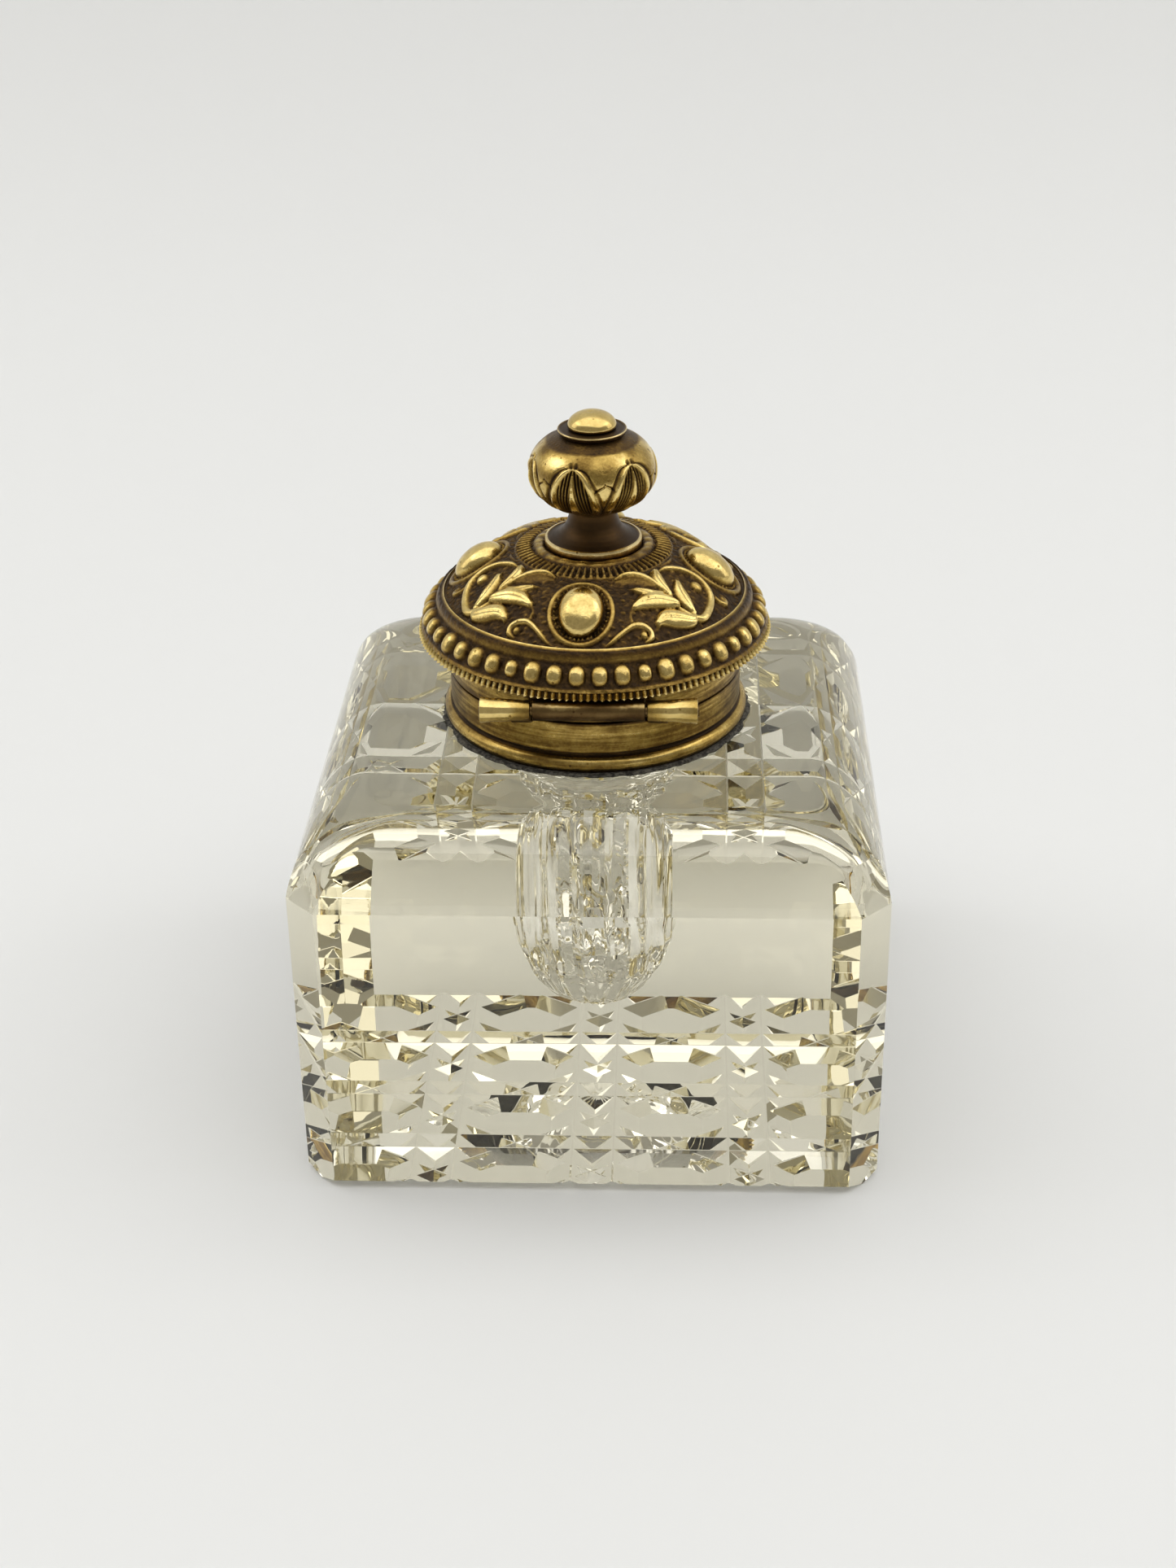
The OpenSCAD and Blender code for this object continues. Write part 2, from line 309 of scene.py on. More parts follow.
def plan(w, round_off=0.0, side=40, cut=12):
    """Square of half width w with its corners taken off, counter-clockwise from the +X side.
    At round_off 0 a corner is a straight cut; above it the corner is a bow of that much more
    radius, bulged from the straight cut to a full quarter arc."""
    reach = CORNER + round_off
    s = w - reach
    full = min(1.0, round_off / 1.2)
    t = np.arange(cut) / cut
    arc = np.stack([np.cos(t * np.pi / 2), np.sin(t * np.pi / 2)], -1)
    corner = (np.stack([1 - t, t], -1) * (1 - full) + arc * full) * reach + s
    edge = np.column_stack([np.full(side, w), -s + 2 * s * np.arange(side) / side])
    quarter = np.vstack([edge, corner])
    turns = [np.array([[c, d], [-d, c]]) for c, d in ((1, 0), (0, 1), (-1, 0), (0, -1))]
    return np.vstack([quarter @ m for m in turns])


def block_shell():
    """Everything of the block above the slab, as rings of points: ground sides, shoulders rounded
    by a quarter oval that the sides cut off early, the level top, the neck, and the fluted well
    that ends in half an oval."""
    rings = []

    def add(xy, z):
        """Puts down one ring: its points in plan, all at height z."""
        rings.append(np.column_stack([xy, np.full(len(xy), z)]))

    for z in np.linspace(SLAB, EDGE, 12):
        add(plan(HALF), z)
    for t in np.linspace(0, 1, 28)[1:]:
        q = SH_FROM + (math.pi / 2 - SH_FROM) * t
        add(plan(LEVEL + SH_IN * math.cos(q), CORNER_BOW * t), TOP - SH_UP * (1 - math.sin(q)))
    square = plan(LEVEL, CORNER_BOW)
    ang = np.arctan2(square[:, 1], square[:, 0])
    circle = np.column_stack([np.cos(ang), np.sin(ang)])
    for t in np.linspace(0, 1, 9)[1:]:
        add(square * (1 - t) + circle * NECK_R * t, TOP)
    add(circle * NECK_R, NECK_TOP - 0.2)
    add(circle * (NECK_R - 0.3), NECK_TOP)
    add(circle * (MOUTH_R + 0.4), NECK_TOP)
    well = smooth_path([(MOUTH_R, NECK_TOP - 0.4), (MOUTH_R, 52), (MOUTH_R, 46), (14.9, 43), (14.4, 41),
                        (13.6, 39.4), (12.4, 37.4), (11.4, 35.4), (10.8, 33.4), (10.7, 31.4),
                        (10.8, 30.3)], 48)
    q = np.radians(np.linspace(3, 88, 30))
    cup = np.column_stack([CUP_R * np.cos(q), CUP_RIM - CUP_DEEP * np.sin(q)])
    for r, z in np.vstack([well, cup]):
        # shallow upright flutes in the wall, hammered dimples in the cup
        x, y = r * circle.T
        wall = np.clip((44 - z) / 6, 0, 1) * np.clip(r / 6, 0, 1)
        lean = ang + 0.05 * math.sin(z / 5)
        flute = np.cos(22 * lean) * 0.17 + np.cos(13 * lean + 1.7) * 0.08
        dent = ripple(x, y, z, 3.4, 5) * 0.20 * np.clip((36 - z) / 10, 0, 1)
        sway = ripple(x, y, z * 0.4, 9, 8) * 0.12
        add(circle * (r + (flute + sway) * wall + dent)[:, None], z)
    return np.array(rings)


def groove_prisms():
    """Bars with a V edge up, blunted to a narrow flat, for the cane cutting: pairs both ways,
    single ones on both diagonals and one just outside each edge. Each is a long bar carried
    along its line, and every line wanders a little from its true place."""
    pts, faces = [], []
    reach, over, flat = 70, 1.5, 0.12       # half length, how far the bar's foot is below, blunt tip

    def bar(at, along, deep, half):
        """A bar whose edge passes over the point `at`: its section is a V of the given depth and
        half width at the block's foot, carried on below it."""
        at, along = np.asarray(at, float), np.asarray(along, float) / np.hypot(*along)
        side = np.array([-along[1], along[0]])
        wide, low = half * over, deep * (1 - over)
        section = [(-wide, low), (wide, low), (flat, deep), (-flat, deep)]
        b = len(pts)
        for end in (-reach, reach):
            pts.extend((*(at + along * end + side * off), z) for off, z in section)
        faces.extend([(b, b + 1, b + 2, b + 3), (b + 4, b + 7, b + 6, b + 5)]
                     + [(b + i, b + 4 + i, b + 4 + (i + 1) % 4, b + (i + 1) % 4) for i in range(4)])

    def stray(by):
        """A random amount, up to `by` either way."""
        return rng.uniform(-by, by)

    for k in (-1, 0, 1):
        for s in (-1, 1):
            c = k * PITCH + s * PAIR
            bar((c + stray(0.15), 0), (stray(0.004), 1), G_DEEP + stray(0.05), G_HALF + stray(0.1))
            bar((0, SHIFT + c + stray(0.15)), (1, stray(0.004)), G_DEEP + stray(0.05), G_HALF + stray(0.1))
    for s in (-1, 1):
        bar((s * (HALF + 1.0), 0), (0.001, 1), G_DEEP + stray(0.02), G_HALF)
        bar((0, s * (HALF + 1.0)), (1, 0.001), G_DEEP + stray(0.02), G_HALF)
    for k in range(-3, 3):
        c = (k + 0.5) * PITCH
        for way in (-1, 1):
            bar((c / 2 + stray(0.12), SHIFT - way * c / 2), (1 + stray(0.006), way), D_DEEP + stray(0.05),
                D_HALF + stray(0.06))
    return pts, faces


def cut_block():
    """The glass: a slab with the grooves taken out of it, joined to the shell above it."""
    foot = plan(HALF)
    n = len(foot)
    sides = [(i, (i + 1) % n, n + (i + 1) % n, n + i) for i in range(n)]
    slab = loose("slab", np.vstack([np.column_stack([foot, np.full(n, z)]) for z in (0.0, SLAB)]),
                 sides + [range(n - 1, -1, -1), range(n, 2 * n)])
    bars = loose("bars", *groove_prisms())
    bm = bmesh.new()
    bm.from_mesh(bars.data)
    bmesh.ops.recalc_face_normals(bm, faces=bm.faces)
    bm.to_mesh(bars.data)
    bm.free()
    cut = slab.modifiers.new("cut", "BOOLEAN")
    cut.operation, cut.object, cut.solver, cut.use_self = "DIFFERENCE", bars, "EXACT", True
    me = bpy.data.meshes.new_from_object(slab.evaluated_get(bpy.context.evaluated_depsgraph_get()))
    shell = block_shell()
    rows, cols = shell.shape[:2]
    well_end = list(range((rows - 1) * cols, rows * cols))
    upper = loose("upper", shell.reshape(-1, 3), grid_faces(rows, cols).tolist() + [well_end])
    bm = bmesh.new()
    bm.from_mesh(me)
    seam = [face for face in bm.faces if all(abs(v.co.z - SLAB * MM) < 1e-6 for v in face.verts)]
    bmesh.ops.delete(bm, geom=seam, context="FACES_ONLY")
    bm.from_mesh(upper.data)
    bmesh.ops.remove_doubles(bm, verts=bm.verts, dist=2e-6)
    bmesh.ops.dissolve_degenerate(bm, edges=bm.edges, dist=1e-6)
    bmesh.ops.recalc_face_normals(bm, faces=bm.faces)
    bm.to_mesh(me)
    bm.free()
    for ob in (slab, bars, upper):
        bpy.data.objects.remove(ob)
    me.name = "cut_glass_block"
    ob = bpy.data.objects.new("cut_glass_block", me)
    bpy.context.scene.collection.objects.link(ob)
    return finished(ob, "root", glass, ("glass_block",), None, 9)


cut_block()

# ---------------------------------------------------------------- collar

BAND_TOP = 59.0


def crumbly(a, r, z, w):
    """A rough squeezed-out edge: radius and height wander with fine ripples."""
    out = np.clip((r - 19.6) / 0.8, 0, 1)
    n = ripple(r * np.cos(a), r * np.sin(a), z, 1.6, 3)
    m = ripple(r * np.cos(a), r * np.sin(a), z, 5.0, 4)
    return r + out * (n * 0.22 + m * 0.2), z + out * n * 0.04, w


turned("plaster_bed", [(17.05, 52.02, 0.5), (20.0, 52.02, 0.5), (20.45, 52.05, 0.5),
                       (20.5, 52.2, 0.5), (20.1, 52.4, 0.5),
                       (19.6, 52.33, 0.5), (18.05, 52.33, 0.5), (18.0, 57.5, 0.5), (17.05, 57.5, 0.5)],
       480, "root", plaster, ("cement_ring",), 0.3, crumbly)
turned("collar_bead", [(19.22, 52.35, 0.0), (19.6, 52.35, 0.1)]
       + bow(19.1, 53.35, 1.0, -55, 70, 12, 0.62) + [(19.3, 54.35, 0.25), (19.22, 54.36, 0.0)],
       360, "root", plain, ("collar_base_ring",), 0.2)


def worn_band(a, r, z, w):
    """Wear on the band fades in dark seams at its foot and top and in soft patches."""
    m = ripple(r * np.cos(a), r * np.sin(a), z * 3, 11, 9)
    outside = np.clip((r - 18.8) / 0.2, 0, 1)
    seam = np.clip((z - 54.75) / 0.3, 0, 1) * np.clip((BAND_TOP + 0.1 - z) / 0.5, 0.35, 1)
    return r, z, np.clip(w * (seam * outside + 0.25 * (1 - outside)) + m * 0.07, 0, 1)


turned("collar_wall", [(18.0, 52.4, 0.2), (19.2, 52.4, 0.0), (19.2, 54.3, 0.0), (18.95, 54.45, 0.0),
                       (18.95, 54.75, 0.0),
                       (19.2, 54.95, 0.46), (19.2, 58.75, 0.54), (19.15, 58.93, 0.7), (19.0, 59.0, 0.6),
                       (15.5, 59.0, 0.5), (15.4, 58.9, 0.5), (15.4, 58.1, 0.2), (18.0, 58.1, 0.1)],
       300, "root", plain, ("collar_band",), 0.15, worn_band)

# ---------------------------------------------------------------- lid

BOSS_TURN, BOSS_AT = -4.0, 15.0     # degrees from the hinge's middle to the front boss; its radius
FLUTES, BEADS, TEETH = 72, 48, 160
LID_BASE = smooth_path([(20.2, 69.35), (19.6, 69.15), (19.0, 69.4), (18.0, 70.35), (16.0, 72.0),
                        (14.0, 73.35),
                        (12.0, 74.3), (10.3, 74.85), (9.0, 75.2), (8.0, 75.4), (7.0, 75.5),
                        (6.0, 75.5)], 400)

# Scrollwork on a quarter of the lid: degrees round from the front boss, radius, half width.
# Each row is (height, vein, points).
SCROLLS = [
    (0.62, 0, [(46.6, 16.5, .22), (49.9, 17.8, .34), (54.3, 18.3, .42), (59.7, 17.9, .44),
               (65, 17.2, .42), (68.8, 16.3, .40),
               (70.4, 15.1, .40), (70.0, 13.9, .40), (67.6, 12.6, .38), (63.4, 11.75, .36),
               (58.6, 11.25, .30), (53.5, 11.1, .16)]),
    (0.66, 1, [(51.5, 17.5, .30), (52.1, 15.9, .72), (53.5, 14.5, .60), (57.2, 13.1, .10)]),
    (0.66, 1, [(46.6, 14.9, .20), (46.3, 13.1, .62), (47.9, 11.7, .66), (52.0, 10.75, .12)]),
    (0.60, 0, [(45.2, 14.6, .14), (44.1, 13.4, .26), (42.6, 12.3, .34), (39.6, 11.2, .38),
               (34.7, 10.45, .36), (27.1, 10.2, .28),
               (19.3, 10.6, .12)]),
    (0.26, 0, [(42.0, 12.9, .3), (36.0, 11.5, .9), (28.0, 11.0, .8), (21.5, 11.0, .3)]),
    (0.62, 1, [(44.5, 14.4, .16), (38.6, 14.1, .50), (33.4, 13.4, .46), (26.4, 12.6, .10)]),
    (0.74, 1, [(47.6, 16.2, .16), (44.2, 15.5, .66), (38.4, 14.75, .84), (32.0, 14.6, .72),
               (26.4, 14.95, .36), (24.4, 15.4, .12)]),
    (0.74, 1, [(50.6, 18.2, .18), (47.6, 18.05, .60), (42.6, 17.35, .84), (38.0, 16.95, .70),
               (34.2, 17.2, .34), (33.0, 17.7, .12)]),
    (0.55, 0, [(10.5, 18.9, .12), (13.2, 18.45, .24), (17.3, 17.7, .30), (22.1, 17.05, .34),
               (26.1, 17.15, .36), (28.9, 17.8, .36),
               (28.9, 18.5, .32), (26.4, 18.85, .20)]),
    (0.42, 0, [(22.6, 17.0, .22), (22.6, 15.8, .18), (24.6, 15.1, .12)]),
    (0.50, 0, [(69.7, 16.6, .16), (69.6, 17.7, .26), (71.4, 18.3, .30), (73.4, 18.1, .24),
               (74.4, 17.6, .12)]),
    (0.45, 0, [(78.0, 10.6, .1), (70.0, 10.75, .22), (61.0, 10.5, .1)]),
]
DOTS = [(64.2, 15.1, .78, .62), (26.2, 18.15, .46, .45), (73.0, 17.75, .3, .3), (58.0, 13.0, .2, .2)]


def plan_xy(deg, r):
    """X and Y in plan, from the sine and cosine of an angle in degrees times the radius."""
    return np.stack([r * np.sin(np.radians(deg)), r * np.cos(np.radians(deg))], -1)


def scroll_height(x, y):
    """Height of the scrollwork at plan points. A scroll is a rounded ridge: its height falls as
    the root of one minus the squared distance to its line over the half width there. A leaf has
    a narrow vein pressed along its line."""
    out = np.zeros(x.shape)
    for height, vein, pts in SCROLLS:
        c = smooth_path(pts, 16 * len(pts))
        xy, half = plan_xy(c[:, 0], c[:, 1]), np.maximum(c[:, 2] * (1.32 if vein else 1.1), 0.05)
        near = np.abs(np.hypot(x, y) - c[:, 1].mean()) < 5.5
        px, py = x[near], y[near]
        best, lay, width = np.full(px.shape, 9.0), np.full(px.shape, 9.0), np.full(px.shape, 0.3)
        for (qx, qy), h in zip(xy, half):
            d = np.hypot(px - qx, py - qy)
            hit = d / h < best
            best[hit], lay[hit], width[hit] = (d / h)[hit], d[hit], h
        bump = np.sqrt(np.clip(1 - best**2, 0, 1)) * height * np.clip(width / 0.35, 0.45, 1)
        if vein:
            groove = np.exp(-((lay / 0.10) ** 2)) * np.clip(width / 0.4, 0, 1) * (best < 0.9)
            bump = bump - 0.20 * height * groove
        out[near] = np.maximum(out[near], bump)
    for deg, r, rad, height in DOTS:
        q = plan_xy(deg, r)
        d2 = ((x - q[0]) ** 2 + (y - q[1]) ** 2) / rad**2
        out = np.maximum(out, np.sqrt(np.clip(1 - d2, 0, 1)) * height)
    return out


def boss_height(u, v):
    """An oval boss in a plain oval rim with a row of fine beads between: u runs across it and v
    outwards, in millimetres from its middle. Returns the height, the wear and where it lies."""
    e = np.sqrt((u / 2.8) ** 2 + (v / 3.0) ** 2)
    dome = 1.95 * np.sqrt(np.clip(1 - e**2, 0, 1))
    g = np.sqrt((u / 3.95) ** 2 + (v / 3.75) ** 2)
    rim = 0.40 * np.sqrt(np.clip(1 - ((g - 1) / 0.085) ** 2, 0, 1))
    way = np.arctan2(v / 3.75, u / 3.95)
    bead = 0.34 * np.clip(np.cos(40 * way), 0, 1) * np.sqrt(np.clip(1 - ((g - 0.855) / 0.045) ** 2, 0, 1))
    moat = -0.22 * np.exp(-(((g - 0.80) / 0.05) ** 2))
    h = np.maximum(np.maximum(dome, rim), bead) + np.where(dome + rim + bead > 0, 0, moat)
    return h, np.maximum(np.clip(dome / 0.7, 0, 1), np.maximum(rim / 0.62, bead / 0.5)), g < 1.1


def lid_field(a, r):
    """Height over the lid's sheet and its wear, for angle a from the front and radius r. One
    quarter between two bosses is mirrored to all four, and slow ripples keep them from being
    quite alike."""
    deg = np.degrees(a) - BOSS_TURN
    wob = ripple(r * np.cos(a), r * np.sin(a), 0, 7, 21)
    wob2 = ripple(r * np.cos(a), r * np.sin(a), 0, 6, 22)
    q = np.abs((deg + 180) % 360 - 180)
    q = np.where(q > 90, 180 - q, q)
    x, y = r * np.sin(np.radians(q)), r * np.cos(np.radians(q))
    h = scroll_height(x + wob * 0.10, y + wob2 * 0.10) * (1 + 0.12 * wob)
    wear = np.clip(h / 0.58, 0, 1) ** 1.15
    for at in (0, 90):
        u = r * np.sin(np.radians(q - at))
        v = r * np.cos(np.radians(q - at)) - BOSS_AT
        b, bw, inside = boss_height(u, v)
        h = np.where(inside, b, h)
        wear = np.where(inside, bw, wear)
    wear = wear * 0.86 + 0.04
    # ridge at the outside, fluted ring and rounded ring about the foot
    ridge = np.exp(-(((r - 19.75) / 0.2) ** 2))
    h = h * np.clip((19.6 - r) / 0.3, 0, 1) + 0.46 * ridge
    wear = np.maximum(wear * np.clip((19.6 - r) / 0.3, 0, 1), 0.95 * ridge)
    edge = np.exp(-(((r - 10.12) / 0.16) ** 2))
    zone = np.clip((10.05 - r) / 0.15, 0, 1) * np.clip((r - 8.0) / 0.15, 0, 1)
    flute = 0.5 + 0.5 * np.cos(FLUTES * a)
    outer = np.clip((r - 10.0) / 0.2, 0, 1)
    h = h * outer + 0.16 * edge + zone * (0.50 * flute - 0.16)
    wear = np.maximum(wear * outer, np.maximum(0.45 * edge, zone * 0.62 * flute**3))
    ring = np.sqrt(np.clip(1 - ((r - 7.1) / 0.72) ** 2, 0, 1))
    ragged = 0.5 + 0.5 * ripple(r * np.cos(a), r * np.sin(a), 0, 1.5, 31)
    h = h + (0.36 + 0.12 * ragged) * ring
    wear = np.maximum(wear, ring * (0.35 + 0.45 * ragged))
    grain = ripple(r * np.cos(a), r * np.sin(a), 0, 0.62, 41)
    ground = np.clip(1 - wear * 3, 0, 1) * np.clip((19.4 - r) / 0.3, 0, 1)
    h = h + 0.13 * grain * ground
    wear = wear + 0.30 * np.clip(grain, 0, 1) ** 2 * ground
    return h, wear


def pressed_sheet(name, a, r, z, wear, inner):
    """A pressed brass sheet of the lid: an outer grid of radii and heights, one column for each
    angle from the front, closed by a plain inner profile carried round."""
    inner = np.array(inner)
    r = np.vstack([r, np.repeat(inner[:, :1], len(a), 1)])
    z = np.vstack([z, np.repeat(inner[:, 1:], len(a), 1)])
    wear = np.vstack([wear, np.full((len(inner), len(a)), 0.3)])
    pts = np.stack([r * np.sin(a), -r * np.cos(a), z], -1).reshape(-1, 3)
    piece(name, pts, grid_faces(len(r), len(a), True), "lid", chased, ("lid_dome",),
          wear, 60)


def lid_sheet():
    """The embossed sheet: a grid round and up the lid's curve, pushed out along the curve's
    normal by lid_field, closed by a plain inner face 0.9 mm in."""
    a = np.arange(720) * TURN / 720
    r0 = np.concatenate([np.linspace(20.2, 19.2, 12)[:-1], np.linspace(19.2, 10.3, 76)[:-1],
                         np.linspace(10.3, 6.0, 32)])
    z0 = np.interp(-r0, -LID_BASE[:, 0], LID_BASE[:, 1])
    slope = np.gradient(z0, r0)
    n = np.stack([-slope, np.ones_like(slope)], -1) / np.hypot(slope, 1)[:, None]
    A, R = np.meshgrid(a, r0)
    h, wear = lid_field(A, R)
    pressed_sheet("lid_embossed_sheet", a, R + h * n[:, :1], z0[:, None] + h * n[:, 1:], wear,
                  [(6.0, 74.6), (7.4, 74.6), (9, 74.3), (12, 73.3), (14, 72.3), (16, 70.9), (18, 69.3),
                   (19.2, 68.3), (20.0, 68.6)])


def bead_border():
    """The beaded band: a hollow-sided curve with oval beads standing on it, each the root of one
    minus its distance from the bead's middle over its half size, and a thin ridge above them."""
    cols, middle = 1440, -21.5
    prof = smooth_path([(22.75, 65.05), (22.55, 65.3), (22.3, 65.55), (22.0, 66.0), (21.5, 66.75),
                        (21.0, 67.5),
                        (20.65, 68.1), (20.45, 68.7), (20.3, 69.2), (20.15, 69.4)], 44)
    t = np.gradient(prof, axis=0)
    t /= np.hypot(*t.T)[:, None]
    n = np.stack([t[:, 1], -t[:, 0]], -1)
    a = np.arange(cols) * TURN / cols
    A, R = np.meshgrid(a, prof[:, 0])
    run = np.concatenate([[0], np.cumsum(np.hypot(*np.diff(prof, axis=0).T))])
    per = np.radians(360 / BEADS)
    k = np.floor(A / per)
    size = 1 + 0.10 * np.sin(k * 2.4) + 0.05 * np.sin(k * 5.1)
    u = ((A / per) % 1 - 0.5) * per * 21.75
    v = run[:, None] - np.interp(middle, -prof[:, 0], run)
    e = (np.abs(u / (1.12 * size)) ** 2.3 + np.abs(v / (1.38 * size)) ** 2.3)
    h = 0.92 * np.sqrt(np.clip(1 - e, 0, 1))
    wear = np.clip(h / 0.8, 0, 1) ** 1.6 * 0.80 + 0.05
    lip = np.clip((R - 22.35) / 0.2, 0, 1)
    ridge = np.exp(-(((R - 20.5) / 0.16) ** 2))
    h = h + 0.16 * ridge
    wear = np.maximum(wear, np.maximum(lip * 0.45, ridge * 0.42))
    h = h + ripple(R * np.cos(A), R * np.sin(A), v, 0.9, 51) * 0.05 * (1 - np.clip(h / 0.2, 0, 1))
    pressed_sheet("lid_bead_band", a, R + h * n[:, :1], prof[:, 1:] + h * n[:, 1:], wear,
                  [(19.9, 68.7), (20.1, 67.6), (20.6, 66.6), (21.2, 65.7), (21.6, 65.0)])


HINGE_Y, HINGE_Z, BARREL = -21.3, 62.0, 1.65
OUTER, INNER, MIDDLE = 13.55, 7.3, 7.0      # where the knuckles end, out from the hinge's middle


def rim_shape(a, r, z, w):
    """Milled edge and hinge room: the flange's outer edge is cut into V teeth, and the
    hollow curve under it is pressed in where the hinge barrel lies."""
    tooth = np.abs(((a * TEETH / TURN) % 1) - 0.5) * 2
    edge = np.clip((r - 22.25) / 0.4, 0, 1) * np.clip((z - 63.9) / 0.1, 0, 1)
    r2 = r - edge * (1 - tooth) * 0.62
    w = np.where(edge > 0, np.clip(tooth * 1.5 - 0.1, 0, 1), w)
    x, y = r2 * np.cos(a), r2 * np.sin(a)
    room = (np.abs(x) < 14.2) & (y < 0) & (z < 63.8)
    limit = np.where(np.abs(x) > 7.15, 18.9, 19.55)
    deep = np.where(room & (y < -limit), limit / np.maximum(-y, 1e-6), 1.0)
    return r2 * deep, z, np.where(deep < 1, 0.05, w)


turned("lid_rim", [(18.2, 59.3, 0.2), (19.2, 59.3, 0.35), (19.2, 60.3, 0.5)]
       + bow(22.2, 60.9, 3.0, 178, 98, 16, 0.55)
       + [(22.2, 63.98, 0.5), (22.9, 64.0, 0.8), (23.15, 64.08, 1.0), (22.98, 64.7, 1.0),
          (22.75, 65.02, 0.9), (22.5, 65.1, 0.4),
          (21.5, 65.1, 0.2), (20.0, 65.0, 0.2), (18.2, 63.0, 0.2)],
       1440, "lid", plain, ("lid_rim_ring",), 0.3, rim_shape)


def barrel(name, x0, x1, body, material, stands_for, wear):
    """A knuckle: a circle carried along X with a small rounded edge at each end, its ends closed
    by rings down to the pin. The outer two taper towards the middle one, and wear fades there.
    The middle one gets a painted highlight along its top and painted shade along its underside."""
    e, cols = 0.18, 72
    prof = np.array([(x0, 0.76), (x0, BARREL - e), (x0 + 0.05, BARREL - 0.05), (x0 + e, BARREL)]
                    + [(x, BARREL) for x in np.linspace(x0 + 0.5, x1 - 0.5, 24)]
                    + [(x1 - e, BARREL), (x1 - 0.05, BARREL - 0.05), (x1, BARREL - e), (x1, 0.76)])
    A, X = np.meshgrid(np.arange(cols) * TURN / cols, prof[:, 0])
    R = np.repeat(prof[:, 1:], cols, 1)
    middle = abs(x0 + x1) < 1
    inner = x1 if x0 < -MIDDLE else x0
    taper = 0.80 if middle else 0.76 + 0.24 * np.clip(np.abs(X - inner) / (x1 - x0), 0, 1) ** 1.3
    dents = ripple(X, R * np.cos(A), R * np.sin(A), 2.6, 61) * 0.035
    R = np.where(R > 1, R * taper + dents, R)
    pts = np.stack([X, HINGE_Y + R * np.sin(A), HINGE_Z + R * np.cos(A)], -1).reshape(-1, 3)
    w = wear + 0.26 * ripple(X, np.cos(A) * 2, np.sin(A) * 2, 4.5, 62)
    # painted highlight and painted shade: the middle knuckle's wear rises on its top and falls underneath,
    # with the cosine round the barrel
    if middle:
        w = w + 0.22 * np.cos(A)
    else:
        w = w * (1 - 0.45 * np.clip(1 - np.abs(X - inner) / 3.0, 0, 1))
    w = np.clip(w, 0, 1) * np.where(R < 1, 0.4, 1)
    return piece(name, pts, grid_faces(len(prof), cols, True), body, material, stands_for, w, 40)


def block_piece(name, x0, x1, body, material, profile, wear):
    """A straight leaf: an outline in Y and Z carried along X, with closed ends."""
    p = np.array(profile, float)
    n, rows = len(p), 28
    pts = np.concatenate([np.column_stack([np.full(n, x), p]) for x in np.linspace(x0, x1, rows)])
    ends = [list(range(n)), list(range(n * rows - 1, n * (rows - 1) - 1, -1))]
    faces = grid_faces(rows, n).tolist() + ends
    return piece(name, pts, faces, body, material, (), np.full(len(pts), wear), 30)


BORE = 2.02                                 # radius of the bore for the knob's rod
BUN_R, BUN_Z, BUN_UP = 8.0, 85.8, 5.1       # the bun: radius, height of its middle, half height


def knob_height(lat, lon):
    """Chasing on the knob, by latitude and longitude in degrees. Six pointed leaves rise from
    the foot well past the middle; each has a raised edge, a spike up its middle and fine
    hatching each side. Smaller tips are engraved between them, and above the metal is plain but
    for a turned step under the disc, whose wear is cut down there as painted shade. Returns height and
    wear."""
    per = 60.0
    k = np.floor((lon + 47.0) / per)
    x = (lon + 47.0) % per - per / 2
    tip = 27 + 3 * np.sin(k * 2.2)
    rise = np.clip((tip - lat) / (tip + 62.0), 0, 1)
    half = np.minimum(30.0 * rise**0.36, 27.0)
    d = (half - np.abs(x)) * np.cos(np.radians(lat)) * 0.14
    inside = (d > 0) & (lat < tip)
    edge = np.exp(-((np.clip(d, -1, 3) - 0.42) / 0.30) ** 2) * (lat < tip)
    groove = np.exp(-((d + 0.32) / 0.24) ** 2) * (lat < tip + 7)
    spike_w = 1.0 + 6.0 * np.clip((tip - 12 - lat) / 80, 0, 1)
    spike = np.clip((spike_w - np.abs(x)) / 1.4, 0, 1) * (lat < tip - 10)
    strokes = 0.5 + 0.5 * np.cos((np.abs(x) + (lat + 20) * 0.10) * 2.05)
    hatch = strokes * inside * (1 - spike) * np.clip((d - 0.8) / 0.2, 0, 1)
    low = np.clip((-50 - lat) / 6, 0, 1)
    gap = 1 - inside
    tip2 = tip - 22
    half2 = 27 * np.clip((tip2 - lat) / (tip2 + 62), 0, 1) ** 0.55
    d2 = (half2 - (30 - np.abs(x))) * np.cos(np.radians(lat)) * 0.14
    second = np.exp(-((d2 / 0.17) ** 2)) * (lat < tip2 + 2) * gap
    upper = np.clip((lat - tip - 1) / 8, 0, 1)
    patches = ripple(np.cos(np.radians(lon)) * 8, np.sin(np.radians(lon)) * 8, lat * 0.14, 4.2, 72)
    h = (gap * (0.24 - 0.26 * second) + inside * (0.12 + 0.18 * edge) + 0.18 * spike
         - 0.36 * hatch - 0.28 * groove * (1 - upper))
    wear = np.clip(gap * (0.66 + 0.26 * patches - 0.6 * second) + inside * (0.60 + 0.40 * edge)
                   + 0.45 * spike - 0.95 * hatch + 0.2 * low - 0.62 * groove * (1 - upper), 0, 1)
    # painted shade: the turned step under the disc is lowered, and its wear is cut by up to 72 percent,
    # darkening the bun's top under the disc
    disc_step_and_painted_shade = np.clip((lat - 46) / 4, 0, 1)
    return h * (1 - disc_step_and_painted_shade * 0.6), wear * (1 - 0.72 * disc_step_and_painted_shade)


